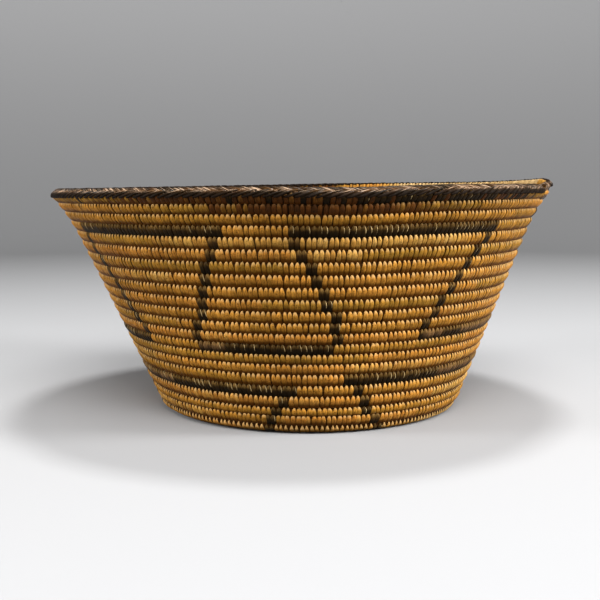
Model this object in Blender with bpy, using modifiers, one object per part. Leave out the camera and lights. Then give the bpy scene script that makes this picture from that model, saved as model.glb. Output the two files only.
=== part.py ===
"""A coiled basketry bowl, about 280 mm across and 130 mm tall, at its real size.

One round coil is wound outward from a start knot into a flat base, turns up at a small corner and climbs
a sloping wall that flares at the lip. The basket maker lets the coil thin out at its end, so that the rim
closes level. Where the pattern's bars lie, the coil is necked and a sleeve of dark splint is wound round
the neck. A false braid of dark splint rides over the top turn.

Axes: +Z is up, the origin lies under the start knot, on the surface that the bowl stands on, and -Y is
the side that the bowl is usually seen from. Angles round the bowl are in degrees, 0 at -Y and growing
towards +X. A place on the coil is given in turns below its tip at the rim, so 0 is the tip.
"""

import bpy
import numpy as np
from math import ceil, cos, floor, pi, radians, sin

MM = 0.001

# Driving dimensions of the coil
COIL_PITCH = 6.2 * MM  # from one turn's middle to the next, along the bowl's profile
COIL_RADIUS = 2.8 * MM  # to the corners of the six-sided coil
CLEARANCE = 0.3 * MM  # between pieces that touch on the real bowl

# Driving dimensions of the bowl's profile, along the middle of the coil
BASE_RADIUS = 77.6 * MM  # flat part
CORNER_RADIUS = 8.0 * MM
WALL_SLOPE = radians(67.2)  # from the level
WALL_LENGTH = 100.0 * MM
LIP_LENGTH = 29.5 * MM
LIP_SLOPE = radians(51.5)  # where the lip ends

# The bowl is a little lopsided, as it was made by hand
RIM_SHIFT = -4.5 * MM  # how far the rim stands off the base's middle, along X
RIM_RISE = 2.0 * MM  # how much the rim is raised at its +X side, and lowered at -X

# The coil's start and its thinned end
TIP_ANGLE = 79.0
TAPER_TURNS = 0.04
TIP_RADIUS = 0.7 * MM
KNOT_CORE_RADIUS = 2.4 * MM
KNOT_POINTS = 22

# How finely the coil is modelled
TURN_POINTS = 20  # corners in each turn
SIDES = 6

# The pattern: dark sleeves wound on the coil
WRAP_THICKNESS = 0.5 * MM
BARS_IN_A_ROW = 5
UPPER_TURNS = 3  # whole turns below the tip, where the upper band's top row starts
UPPER_BOTTOM_TURNS = 13
LOWER_TURNS = 17
UPPER_GAP_ANGLE = 16.0  # light stretch between hidden bars of the upper band
UPPER_START_ANGLE = 71.0  # where the top row starts
SEEN_BAR_ANGLES = ((299.0, 343.0), (357.0, 408.5))  # the two bars of the top row that face the viewer
SEEN_LEAN_ANGLES = ((11.5, 13.8), (11.0, 17.2))  # how far their left and right legs move round on the way down
HIDDEN_LEAN_ANGLES = (11.0, 15.5)  # the same for the hidden bars
LOWER_START_ANGLE = 9.0
LOWER_STEP_ANGLE = 71.75
LOWER_BAR_ANGLE = 60.0
FULL_ANGLE = 360.0

# The false braid on the rim
BRAID_THICKNESS = 1.1 * MM
BRAID_RELIEF = 0.45 * MM  # from a strand's crest to the dip beside it
BRAID_FOOT = 0.35 * MM  # its thickness at its feet, on the coil's outer and inner side
BRAID_STRANDS = 60  # times the rings of each, a multiple of the coil's corners in a turn
RINGS_PER_STRAND = 3
BRAID_FACES = 6  # faces across the braid, from its outer foot over the top to its inner foot

# How close points of a tube and its caps are welded, and how far along the next turn its nearest part lies
WELD_DISTANCE = 0.01 * MM
NEAR_TURN = 0.2

# Colours and roughness
LIGHT_SPLINT = (0.50, 0.29, 0.11, 1.0)
DARK_SPLINT = (0.040, 0.026, 0.018, 1.0)
BRAID_SPLINT = (0.055, 0.030, 0.020, 1.0)
LIGHT_ROUGHNESS = 0.55
DARK_ROUGHNESS = 0.5
BRAID_ROUGHNESS = 0.4

# Values worked out from the driving dimensions
FLAT_SIDE = COIL_RADIUS * cos(pi / SIDES)  # from the coil's middle to one of its flat sides
FLOOR_CUT = COIL_RADIUS / 5  # the coil is cut flat underneath, a tenth of its diameter deep
BASE_HEIGHT = FLAT_SIDE - FLOOR_CUT  # the base coil's middle, above the floor
CORNER_MARGIN = 0.6 * COIL_RADIUS  # a sleeve ends at least this far from a corner of the coil
BEND_MARGIN = 0.7 * COIL_RADIUS  # the base coil has no corner this close to its innermost bend
CORNER_LENGTH = CORNER_RADIUS * WALL_SLOPE
LIP_BEND = (WALL_SLOPE - LIP_SLOPE) / LIP_LENGTH
PROFILE_LENGTH = BASE_RADIUS + CORNER_LENGTH + WALL_LENGTH + LIP_LENGTH
TURNS = PROFILE_LENGTH / COIL_PITCH


def clear_scene():
    for item in list(bpy.data.objects):
        bpy.data.objects.remove(item)


def new_collection(name):
    collection = bpy.data.collections.new(name)
    bpy.context.scene.collection.children.link(collection)
    return collection


def splint_material(name, colour, roughness):
    material = bpy.data.materials.new(name)
    material.use_nodes = True
    shader = material.node_tree.nodes["Principled BSDF"]
    shader.inputs["Base Color"].default_value = colour
    shader.inputs["Roughness"].default_value = roughness
    shader.inputs["Metallic"].default_value = 0.0
    return material


def profile(length):
    """Radius, height and slope of the coil's middle line, at a length from the bowl's axis."""
    if length <= BASE_RADIUS:
        return length, BASE_HEIGHT, 0.0
    angle = min((length - BASE_RADIUS) / CORNER_RADIUS, WALL_SLOPE)
    radius = BASE_RADIUS + CORNER_RADIUS * sin(angle)
    height = BASE_HEIGHT + CORNER_RADIUS * (1 - cos(angle))
    past_corner = length - BASE_RADIUS - CORNER_LENGTH
    if past_corner <= 0:
        return radius, height, angle
    straight = min(past_corner, WALL_LENGTH)
    radius += straight * cos(WALL_SLOPE)
    height += straight * sin(WALL_SLOPE)
    past_wall = past_corner - WALL_LENGTH
    if past_wall <= 0:
        return radius, height, WALL_SLOPE
    slope = WALL_SLOPE - LIP_BEND * past_wall
    radius += (sin(WALL_SLOPE) - sin(slope)) / LIP_BEND
    height += (cos(slope) - cos(WALL_SLOPE)) / LIP_BEND
    return radius, height, slope


RIM_RADIUS, RIM_HEIGHT, _ = profile(PROFILE_LENGTH)


def coil_radius_at(turn):
    """The coil keeps its radius, and thins out evenly just before its tip."""
    share = min(turn / TAPER_TURNS, 1.0)
    return TIP_RADIUS + (COIL_RADIUS - TIP_RADIUS) * share


def angle_of(turn):
    return TIP_ANGLE + FULL_ANGLE * turn


def frame_at(turn):
    """The coil's middle, its outward direction and its direction up the profile, at a turn."""
    drop = COIL_RADIUS - coil_radius_at(turn)  # the thinned end still lies on the turn below
    radius, height, slope = profile(PROFILE_LENGTH - COIL_PITCH * turn - drop)
    angle = radians(angle_of(turn))
    outward = np.array((sin(angle), -cos(angle), 0.0))
    middle = outward * radius + np.array((0.0, 0.0, height))
    share = (height - BASE_HEIGHT) / (RIM_HEIGHT - BASE_HEIGHT)
    middle[2] += RIM_RISE * share * middle[0] / RIM_RADIUS
    middle[0] += RIM_SHIFT * share
    along = outward * cos(slope) + np.array((0.0, 0.0, sin(slope)))
    across = outward * sin(slope) - np.array((0.0, 0.0, cos(slope)))
    return middle, across, along


def chord_frame(turn):
    """The same as frame_at, on the straight run between the coil's two nearest corners."""
    first = floor(turn * TURN_POINTS)
    share = turn * TURN_POINTS - first
    ends = zip(frame_at(first / TURN_POINTS), frame_at((first + 1) / TURN_POINTS))
    return [near * (1 - share) + far * share for near, far in ends]


def turns_for(distance, turn):
    """How much of a turn a short distance along the coil takes up."""
    radius = profile(PROFILE_LENGTH - COIL_PITCH * turn)[0]
    return distance / (2 * pi * radius)


def turn_at(row, angle):
    """The place on the coil at an angle, in a row that starts a whole number of turns below the tip."""
    return row + (angle - TIP_ANGLE) / FULL_ANGLE


def off_corner(turn):
    """A sleeve's end, moved a little along the coil where it would lie in one of the coil's corners."""
    corner = round(turn * TURN_POINTS) / TURN_POINTS
    margin = turns_for(CORNER_MARGIN, turn)
    if turn < corner:
        return min(turn, corner - margin)
    return max(turn, corner + margin)


def upper_bars():
    """Start and end angles of the upper band's top bars, and how far their left and right legs lean.

    The hidden bars share what the seen ones leave.
    """
    hidden = BARS_IN_A_ROW - len(SEEN_BAR_ANGLES)
    step = (SEEN_BAR_ANGLES[0][0] - UPPER_START_ANGLE) / hidden
    starts = [UPPER_START_ANGLE + step * number for number in range(hidden)]
    bars = [(start, start + step - UPPER_GAP_ANGLE, *HIDDEN_LEAN_ANGLES) for start in starts]
    return bars + [bar + leans for bar, leans in zip(SEEN_BAR_ANGLES, SEEN_LEAN_ANGLES)]


def upper_bottom_bars():
    """Each runs from the foot of one bar's right leg to the foot of the next bar's left leg."""
    lefts = [start + lean for start, _, lean, _ in upper_bars()]
    rights = [end - lean for _, end, _, lean in upper_bars()]
    rights = [rights[-1] - FULL_ANGLE] + rights[:-1]
    return list(zip(rights, lefts))


def lower_bars():
    starts = [LOWER_START_ANGLE + LOWER_STEP_ANGLE * number for number in range(BARS_IN_A_ROW)]
    return [(start, start + LOWER_BAR_ANGLE) for start in starts]


def all_bars():
    """Name, first turn and last turn of each dark sleeve."""
    rows = (
        ("upper_top_bar", UPPER_TURNS, [bar[:2] for bar in upper_bars()]),
        ("upper_bottom_bar", UPPER_BOTTOM_TURNS, upper_bottom_bars()),
        ("lower_top_bar", LOWER_TURNS, lower_bars()),
    )
    bars = []
    for name, row, angles in rows:
        for number, (start, end) in enumerate(angles, 1):
            bars.append((f"{name}_{number}", off_corner(turn_at(row, start)), off_corner(turn_at(row, end))))
    return bars


def corner_turns(first, last):
    """Turns between first and last where the coil has a corner."""
    numbers = range(ceil(first * TURN_POINTS), floor(last * TURN_POINTS) + 1)
    return [number / TURN_POINTS for number in numbers if first < number / TURN_POINTS < last]


def tube(name, stations, material, collection, capped=True):
    """A six-sided tube through stations, each a turn, a point and a radius, from the base upward."""
    curve = bpy.data.curves.new(name, "CURVE")
    curve.dimensions = "3D"
    curve.twist_mode = "Z_UP"
    curve.bevel_depth = COIL_RADIUS
    curve.bevel_resolution = 1
    curve.resolution_u = 1
    curve.use_fill_caps = capped
    spline = curve.splines.new("POLY")
    spline.points.add(len(stations) - 1)
    for point, (turn, middle, radius) in zip(spline.points, stations):
        point.co = (*middle, 1.0)
        point.radius = radius / COIL_RADIUS
        point.tilt = profile(PROFILE_LENGTH - COIL_PITCH * turn)[2]
    curve.materials.append(material)
    item = bpy.data.objects.new(name, curve)
    collection.objects.link(item)
    return item


def least_gap(stations):
    """The least distance between the edges of one turn and those of the next, over all corners."""
    angles = 2 * pi / SIDES * np.arange(SIDES)
    rings = []
    for turn, middle, radius in stations:
        _, across, along = frame_at(turn)
        rings.append(middle + radius * (np.outer(np.cos(angles), along) + np.outer(np.sin(angles), across)))
    rings = np.array(rings)
    turns = np.array([turn for turn, _, _ in stations])
    least = np.inf
    for number, ring in enumerate(rings):
        apart = abs(turns[:-1] - turns[number])
        near = np.flatnonzero(abs(apart - 1.0) < NEAR_TURN)
        if not len(near):
            continue
        start = rings[near][:, None]
        way = rings[near + 1][:, None] - start
        offset = ring[:, None] - start.reshape(len(near), 1, SIDES, 3)
        way = way.reshape(len(near), 1, SIDES, 3)
        share = np.clip((offset * way).sum(-1) / (way * way).sum(-1), 0, 1)
        least = min(least, np.linalg.norm(offset - share[..., None] * way, axis=-1).min())
    return least


def neck_radius():
    """The coil under a sleeve, to its corners."""
    return COIL_RADIUS - (WRAP_THICKNESS + CLEARANCE) / cos(pi / SIDES)


def necked_stations(first, last, bars):
    """Stations of the wall coil between two turns, with a neck under each sleeve."""
    stations = [(turn, coil_radius_at(turn)) for turn in corner_turns(first, last)]
    stations += [(turn, coil_radius_at(turn)) for turn in (first, last)]
    for _, start, end in bars:
        shoulder = turns_for(CLEARANCE / 2, start)
        stations = [(turn, neck_radius() if start < turn < end else radius) for turn, radius in stations]
        stations += [(start - shoulder, COIL_RADIUS), (start, neck_radius())]
        stations += [(end, neck_radius()), (end + shoulder, COIL_RADIUS)]
    stations.sort(reverse=True)
    return [(turn, chord_frame(turn)[0], radius) for turn, radius in stations]


def joint_turn():
    """Where base and wall coil meet: the middle of the straight run nearest to the base's edge."""
    turn = (PROFILE_LENGTH - BASE_RADIUS) / COIL_PITCH
    return (floor(turn * TURN_POINTS) + 0.5) / TURN_POINTS


def make_wall_coil(material, collection, floor):
    """The wall's coil is one unbroken tube, from the base's edge to the thinned tip."""
    joint = joint_turn()
    last = joint - turns_for(CLEARANCE / 2, joint)
    stations = necked_stations(0.0, last, all_bars())
    print("wall_coil least gap to itself, mm:", round(least_gap(stations) / MM, 3))
    coil = as_mesh(tube("wall_coil", stations, material, collection), collection)
    cut_flat(coil, floor)


def base_stations():
    """Stations of the base coil, whose first run from the knot is straight for one diameter."""
    joint = joint_turn()
    first = joint + turns_for(CLEARANCE / 2, joint)
    last = TURNS - 1
    bend = last - turns_for(2 * COIL_RADIUS, last)
    turns = corner_turns(first, bend - turns_for(BEND_MARGIN, bend))
    stations = [(turn, frame_at(turn)[0], COIL_RADIUS) for turn in turns + [bend, last]]
    stations.append((first, chord_frame(first)[0], COIL_RADIUS))
    stations.sort(key=lambda station: station[0], reverse=True)
    return stations


def make_base_coil(material, collection, floor):
    """The base's coil is one unbroken tube too, cut flat underneath so that the bowl stands."""
    stations = base_stations()
    print("base_coil least gap to itself, mm:", round(least_gap(stations) / MM, 3))
    coil = as_mesh(tube("base_coil", stations, material, collection), collection)
    cut_flat(coil, floor)


def as_mesh(item, collection):
    """The curve object's tube as a mesh with its caps welded on."""
    graph = bpy.context.evaluated_depsgraph_get()
    mesh = bpy.data.meshes.new_from_object(item.evaluated_get(graph))
    name = item.name
    matrix = item.matrix_world.copy()
    bpy.data.objects.remove(item)
    solid = bpy.data.objects.new(name, mesh)
    solid.matrix_world = matrix
    collection.objects.link(solid)
    weld = solid.modifiers.new("Caps", "WELD")
    weld.merge_threshold = WELD_DISTANCE
    return solid


def make_floor(cutters):
    """A block whose top is the surface that the bowl stands on."""
    size = 4 * RIM_RADIUS
    bpy.ops.mesh.primitive_cube_add(size=size, location=(0.0, 0.0, -size / 2))
    floor = bpy.context.object
    floor.name = "floor_cutter"
    floor.hide_render = True
    floor.display_type = "WIRE"
    for holder in list(floor.users_collection):
        holder.objects.unlink(floor)
    cutters.objects.link(floor)
    return floor


def cut_flat(item, floor):
    """Takes away what lies below the floor."""
    cut = item.modifiers.new("Floor", "BOOLEAN")
    cut.operation = "DIFFERENCE"
    cut.object = floor


def knot_outline():
    """A spiral inside the coil's first turn, and a step that the coil's end looks at squarely."""
    stations = base_stations()
    turn, end, _ = stations[0]
    run = stations[1][1] - end
    run /= np.linalg.norm(run)
    aside = np.array((run[1], -run[0], 0.0))
    aside *= np.sign(aside @ end)
    step = end - run * CLEARANCE
    outline = []
    for number in range(KNOT_POINTS):
        share = number / KNOT_POINTS
        radius = KNOT_CORE_RADIUS + COIL_PITCH * share
        angle = radians(angle_of(turn + 1 - share))
        outline.append((radius * sin(angle), -radius * cos(angle)))
    outline += [tuple((step + aside * side * COIL_RADIUS)[:2]) for side in (1, -1)]
    return outline


def make_start_knot(material, collection):
    """The coil's first turn is too tight for a hollow middle, so it is a snail-shaped button."""
    curve = bpy.data.curves.new("start_knot", "CURVE")
    curve.dimensions = "2D"
    curve.fill_mode = "BOTH"
    height = BASE_HEIGHT + FLAT_SIDE
    curve.extrude = height / 2
    outline = knot_outline()
    spline = curve.splines.new("POLY")
    spline.points.add(len(outline) - 1)
    for point, (x, y) in zip(spline.points, outline):
        point.co = (x, y, 0.0, 1.0)
    spline.use_cyclic_u = True
    curve.materials.append(material)
    knot = bpy.data.objects.new("start_knot", curve)
    knot.location = (0.0, 0.0, height / 2)
    collection.objects.link(knot)


def make_bar(name, start, end, material, collection):
    """A sleeve of dark splint that fills the coil's neck, as thick as the coil outside."""
    first = start + turns_for(CLEARANCE, start)
    last = end - turns_for(CLEARANCE, end)
    turns = sorted([first, last] + corner_turns(first, last), reverse=True)
    stations = [(turn, chord_frame(turn)[0], COIL_RADIUS) for turn in turns]
    sleeve = tube(name, stations, material, collection, capped=False)
    wrap = sleeve.modifiers.new("Wrap", "SOLIDIFY")
    wrap.thickness = WRAP_THICKNESS
    wrap.offset = -1.0
    wrap.use_even_offset = True


def braid_section(number, turn):
    """One closed outline across the braid: over the top of the coil and back along its underside.

    The crests step sideways from ring to ring, so that each strand slants up the outer side, turns over
    the top and slants down the inner side, as the strands of a false braid do.
    """
    middle, across, along = chord_frame(turn)
    inner = coil_radius_at(turn) + CLEARANCE / cos(pi / SIDES)
    side = inner * cos(pi / SIDES)

    def place(radius, angle):
        return middle + radius * (across * cos(angle) + along * sin(angle))

    half = BRAID_FACES // 2
    outline = []
    for step in range(BRAID_FACES + 1):
        crest = (number - abs(step - half)) % RINGS_PER_STRAND == 0
        height = BRAID_THICKNESS - (0.0 if crest else BRAID_RELIEF)
        if step in (0, BRAID_FACES):
            height = BRAID_FOOT
        outline.append(place(inner + height, pi * step / BRAID_FACES))
    outline.append(place(side, pi))
    for corner in (1, 0, -1):
        outline.append(place(inner, pi / 2 + corner * 2 * pi / SIDES))
    outline.append(place(side, 0.0))
    return outline


def make_rim_braid(material, collection):
    """A loft through unlike sections, once round the rim, whose ends face each other at the coil's tip."""
    count = BRAID_STRANDS * RINGS_PER_STRAND
    start = turns_for(CLEARANCE, 0.0)
    end = 1.0 - turns_for(CLEARANCE, 1.0)
    points = []
    for number in range(count + 1):
        turn = min(max(number / count, start), end)
        points += braid_section(number, turn)
    size = len(points) // (count + 1)
    faces = [tuple(range(size))]
    for ring in range(count):
        for side in range(size):
            here = ring * size + side
            beside = ring * size + (side + 1) % size
            faces.append((here, here + size, beside + size, beside))
    faces.append(tuple(range(count * size + size - 1, count * size - 1, -1)))
    mesh = bpy.data.meshes.new("rim_braid")
    mesh.from_pydata([tuple(point) for point in points], [], faces)
    mesh.materials.append(material)
    mesh.update()
    braid = bpy.data.objects.new("rim_braid", mesh)
    collection.objects.link(braid)


def build():
    clear_scene()
    parts = new_collection("coiled_basketry_bowl")
    cutters = new_collection("cutters")
    light = splint_material("light_splint", LIGHT_SPLINT, LIGHT_ROUGHNESS)
    dark = splint_material("dark_splint", DARK_SPLINT, DARK_ROUGHNESS)
    braided = splint_material("braid_splint", BRAID_SPLINT, BRAID_ROUGHNESS)
    floor = make_floor(cutters)
    make_start_knot(light, parts)
    make_base_coil(light, parts, floor)
    make_wall_coil(light, parts, floor)
    for name, start, end in all_bars():
        make_bar(name, start, end, dark, parts)
    make_rim_braid(braided, parts)


build()
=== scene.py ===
"""The looks of a coiled basketry bowl: the coil, each stitch sewn over it, the pattern and the false braid.

The coil's middle line follows the same driving dimensions as the CAD part. A place on it is a turn, counted
from the coil's tip at the rim, so it grows down the wall and inward over the base. Angles round the bowl
are in degrees, 0 at the viewer's side (-Y) and growing towards +X. An angle round the coil's own section
is 0 on the bowl's outer side and a quarter turn on top, towards the rim.
"""

from math import cos, pi, radians, sin

import bpy
import numpy as np
from mathutils import Matrix, Vector


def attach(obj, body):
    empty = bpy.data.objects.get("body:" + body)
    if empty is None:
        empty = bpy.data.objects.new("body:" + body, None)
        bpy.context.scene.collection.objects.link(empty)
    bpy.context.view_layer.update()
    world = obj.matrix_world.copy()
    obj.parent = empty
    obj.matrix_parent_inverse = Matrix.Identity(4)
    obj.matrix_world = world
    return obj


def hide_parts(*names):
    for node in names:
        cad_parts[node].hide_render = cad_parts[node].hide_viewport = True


MM = 0.001
SEED = 20
FULL_ANGLE = 360.0
RIGHT_ANGLE = 90.0

# The coil and the bowl's profile, as in the CAD part
COIL_PITCH = 6.2 * MM
COIL_RADIUS = 2.8 * MM
BASE_RADIUS = 77.6 * MM
CORNER_RADIUS = 8.0 * MM
WALL_SLOPE = radians(67.2)
WALL_LENGTH = 100.0 * MM
LIP_LENGTH = 29.5 * MM
LIP_SLOPE = radians(51.5)
RIM_SHIFT = -4.5 * MM
RIM_RISE = 2.0 * MM
TUBE_SIDES = 6  # of the CAD part's coil
FLAT_CUT = 0.2  # share of its radius that is cut off flat underneath
BASE_HEIGHT = COIL_RADIUS * (cos(pi / TUBE_SIDES) - FLAT_CUT)
CORNER_LENGTH = CORNER_RADIUS * WALL_SLOPE
LIP_BEND = (WALL_SLOPE - LIP_SLOPE) / LIP_LENGTH
PROFILE_LENGTH = BASE_RADIUS + CORNER_LENGTH + WALL_LENGTH + LIP_LENGTH
FLOOR_SOFTNESS = 0.25 * MM  # how softly the base's underside is flattened

# The coil's thinned end, which is nearer to the viewer than the CAD part's, as in the photograph
TIP_ANGLE = 68.0
TIP_LIFT = 0.38 * MM  # how far up the profile this moves each row, so that the rows stay at their heights
TAPER_TURNS = 0.06  # over how much of a turn it thins
TIP_SHARE = 0.3  # how thick its very end is, as a share of the full thickness
# The rows are a little narrower near the rim and wider half way down, as they were made by hand
WAVE = 1.1 * MM
WAVE_TURNS = 15.0
WAVE_END = 21.0  # the turn from which the wave has died down
WAVE_FADE = 3.0  # over how many turns it does
# The rows near the base spread and then crowd at its edge: at which turns, and how far up they are moved
FOOT_TURNS = (15.8, 16.8, 17.8, 18.8, 19.8, 20.8, 21.8, 22.8, 24.8)
FOOT_SHIFTS = (0, -0.3 * MM, -1.1 * MM, -1.1 * MM, -1.0 * MM, 0.8 * MM, 1.0 * MM, 0.6 * MM, 0)
# The rim sags a little in front, and behind on the right: how much, where, and how far it spreads
SAGS = ((1.0 * MM, 9.5, 11.0), (1.3 * MM, 118.0, 36.0))
SAG_POWER = 3  # how quickly the sag fades down the wall

# The coil's foundation of grass, inside the stitches
CORE_ACROSS = 2.45 * MM  # half its thickness through the wall
CORE_OVERLAP = 0.05 * MM  # how far it reaches past the middle between two rows
TOP_CORE = 2.7 * MM  # half its height on top of the last row, under the braid
SQUARENESS = 2.8  # power of its rounded section: 2 is an ellipse
TOP_HEAVY = 0.16  # how much wider it is above its middle than below
CORE_STATIONS = 72  # to a turn
CORE_POINTS = 16
START_RADIUS = 1.2 * MM  # where the coil starts, beside the bowl's axis

# The map laid out over each piece: the margins of a strip's cell, across the strip and along it
CELL_MARGINS = (0.04, 0.02)
# The same map: how many columns it has to each of its rows
STITCH_COLUMNS = 4.0
STRAND_COLUMNS = 3.0

# The stitches
STITCH_PITCH = 2.55 * MM
CROWDING = 2.0 * MM  # the pitch is met this far outside the coil's middle
STITCH_FILL = 1.07  # share of the pitch that a stitch fills
STITCH_ROOT = -0.2 * MM  # its underside, pressed into the foundation
HOLE_REACH = 0.9 * MM  # how far a stitch's foot dives into the row below
JITTER = 0.10  # share of the pitch by which a stitch strays along the coil
UNEVEN = 0.14  # share by which stitches differ in width and in height
TWIST = 0.12  # share of the pitch by which a stitch leans to one side at its top
DIVE_POWER = 6  # how late on its way down the foot dives
LEAN_START = -40  # the elevation below which a stitch leans towards its hole in the row below
LEAN_REACH = 50  # over how many degrees it gets there
COUNT_STEPS = 60000  # places along the coil at which the stitches are counted
SPLINT_RUN = (10, 55)  # how many stitches a splint lasts for: from the first number to below the second
# Places across a stitch's section, and whether each lies on its crowned upper side
SECTION = (-1.0, -0.6, 0.0, 0.6, 1.0, 0.0)
UPPER_SIDE = (1.0, 1.0, 1.0, 1.0, 1.0, 0.0)
# Degrees round the coil's section at a stitch's stations, from its foot over the top and back
STATIONS = (-90, -76, -62, -46, -30, -14, 2, 18, 32, 44, 54, 64, 74, 90,
            106, 116, 126, 136, 148, 162, 178, 194, 210, 226, 242, 256)
# Elevations on a stitch, in degrees from the coil's outer side, and its share of the full width there
WIDTH_PLACES = (-90, -75, -55, -30, 0, 20, 40, 56, 70, 90)
WIDTH_SHARES = (0.60, 0.90, 1.0, 1.0, 1.0, 1.0, 0.88, 0.60, 0.32, 0.18)
# The same for how far its crown and its edges stand off the foundation
CROWN_PLACES = (-90, 0, 30, 60, 90)
CROWN_HEIGHTS = (0.34 * MM, 0.38 * MM, 0.50 * MM, 0.62 * MM, 0.50 * MM)
EDGE_HEIGHTS = (0.18 * MM, 0.18 * MM, 0.18 * MM, 0.16 * MM, 0.16 * MM)

# The pattern, in the same rows as the CAD part's
BARS_IN_A_ROW = 5
UPPER_TURNS = 3
UPPER_BOTTOM_TURNS = 13
LOWER_TURNS = 17
LOWER_BOTTOM_TURNS = 27
UPPER_GAP_ANGLE = 16.0
UPPER_START_ANGLE = 71.0
SEEN_BAR_ANGLES = ((299.0, 343.6), (357.9, 408.5))
# How far inside a top bar's ends the feet of its left and right legs lie, where the bottom bars end
SEEN_LEAN_ANGLES = ((11.5, 14.4), (10.1, 14.8))
HIDDEN_LEAN_ANGLES = (11.0, 15.5)
# How far inside a bar's end each leg sets out, and by how much it leans with every row
SEEN_LEFT_LEGS = ((-1.0, 1.19), (-0.8, 1.50))
SEEN_RIGHT_LEGS = ((1.4, 1.31), (0.8, 1.80))
HIDDEN_LEGS = ((0.0, 1.2), (1.3, 1.5))
# The two lower bars that are seen run on out of sight round the bowl's sides
LOWER_SEEN_BARS = ((11.2, 91.0), (276.0, 356.3))
LOWER_GAP_ANGLE = 15.0
LOWER_LEG_INSET = 1.8
LOWER_LEAN_SHARE = 0.27  # of a bar's length, over the band's whole height
LEG_REACH = 1.0  # in stitches, to both sides of a leg's middle line
# Browner runs of dark splint: the row, and the angles between which it lies
FADED_RUNS = (
    (UPPER_BOTTOM_TURNS, 329.0, 338.0),
    (UPPER_BOTTOM_TURNS, 33.0, 40.0),
    (UPPER_BOTTOM_TURNS, 48.0, 82.0),
    (LOWER_TURNS, 43.0, 91.0),
    (LOWER_TURNS, 276.0, 312.0),
)
FADED_TONE = 0.88
DARK_TONES_END = 0.7  # the brownest tone of the other dark splints
LIGHT_TONES_START, LIGHT_TONES_WIDTH = 0.2, 0.65  # where the light splints' own tones lie
# How rarely a pale sliver shows between dark stitches: the power to which a random share is raised
SLIVER_RARITY = 1.6
SLIVERED_BARS = {"upper_top_bar_5": 0.5, "lower_top_bar_5": 0.8, "upper_bottom_bar_5": 1.1}
# By angle in the rim's row: the share of dark stitches, and the tone of the light ones, where 0 is soiled
# and in painted shade under the braid
RIM_ROW_DARK = ((170, 200, 300, 350, 364, 376, 400, 415, 422), (0, 0.05, 0.05, 0.12, 0.4, 0.9, 0.9, 0.4, 0))
RIM_ROW_TONE = ((150, 172, 270, 288, 305, 320, 335, 405, 425),
                (1.0, 0.08, 0.08, 0.34, 0.22, 0.14, 0.05, 0.06, 0.25))
# How soiled and darkened by painted shade under the braid the second and third rows are in front, where
# most, and how that fades to both sides
SOILED_AND_SHADED_ROWS = (0.92, 0.45)
SOIL_AND_SHADE_MIDDLE = 364.0
SOIL_AND_SHADE_SPREAD = 46.0

# The false braid
BRAID_BED = 2.95 * MM  # from the coil's middle to the strands' underside
STRAND_PITCH = 4.6 * MM
STRAND_ADVANCE = 13.0 * MM  # along the rim, on a strand's way from its foot to the middle
STRAND_WIDTH = 4.9 * MM  # along the rim
STRAND_CROWN = 0.8 * MM  # how high its upper side is in the middle
STRAND_EDGE = 0.25  # how high its edges are, as a share of its crown
STRAND_DEPTH = 0.3 * MM  # from its middle line down to its underside
STRAND_LIFT = 0.5 * MM  # off its bed, where it stands highest
STRAND_TILT = 0.2 * MM  # by how much one of its edges is raised and the other lowered
STRAND_CURVE = 1.3  # power that bends a strand's way along the rim
STRAND_GRAIN = 0.4  # how long its fibres are drawn
STRAND_STATIONS = 14
# Shares by which strands differ in width and in height, and in how far they advance
UNEVEN_SIZE, UNEVEN_ADVANCE = 0.15, 0.12
# Along a strand, in shares of its length: how wide it is, and how high it stands
TAPER_PLACES = (0.0, 0.12, 0.3, 0.8, 1.0)
TAPER_SHARES = (0.45, 0.8, 1.0, 0.9, 0.35)
LIFT_PLACES = (0.0, 0.15, 0.5, 0.8, 1.0)
LIFT_SHARES = (0.0, 0.75, 1.0, 0.45, -0.8)
# Angles round the coil's section between which the outer and the inner strands run
OUTER_FOOT, OUTER_END = radians(30), radians(104)
INNER_END = radians(66)
# The inner foot by angle round the bowl: it lies higher near the coil's end
INNER_FOOT = ((150, 175), (radians(130), radians(168)))

WRAP_TURNS = (0.002, 0.0065, 0.011)  # where strands are wound over the tip and the row below it
WRAP_WIDTH = 3.4 * MM
WRAP_LIFT = 0.35 * MM  # off the foundation
WRAP_EDGE = 0.3  # how high its edges are, as a share of its crown
WRAP_STATIONS = 28
WRAP_HEIGHT = 0.6  # how far up a strand the material takes it to be
WRAP_TONES = (0.6, 1.0)  # of its splints, from the darkest to the brownest

# Colours by tone, of which the lowest are soil and painted shade under the braid, and the grass's by its
# grain, dark as painted shade in the slits
LIGHT_COLOURS = (
    (0.0, (0.055, 0.021, 0.006)),
    (0.08, (0.120, 0.040, 0.008)),
    (0.2, (0.400, 0.200, 0.026)),
    (0.37, (0.480, 0.210, 0.027)),
    (0.53, (0.550, 0.245, 0.034)),
    (0.7, (0.545, 0.218, 0.032)),
    (0.85, (0.600, 0.315, 0.062)),
    (1.0, (0.560, 0.370, 0.160)),
)
DARK_COLOURS = (
    (0.0, (0.013, 0.007, 0.002)),
    (0.4, (0.031, 0.016, 0.004)),
    (0.7, (0.056, 0.027, 0.007)),
    (1.0, (0.19, 0.100, 0.042)),
)
BRAID_COLOURS = (
    (0.0, (0.007, 0.004, 0.001)),
    (0.5, (0.018, 0.010, 0.003)),
    (1.0, (0.050, 0.024, 0.010)),
)
SHADED_GRASS_COLOURS = ((0.3, (0.010, 0.004, 0.001)), (0.7, (0.060, 0.022, 0.004)))
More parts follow.
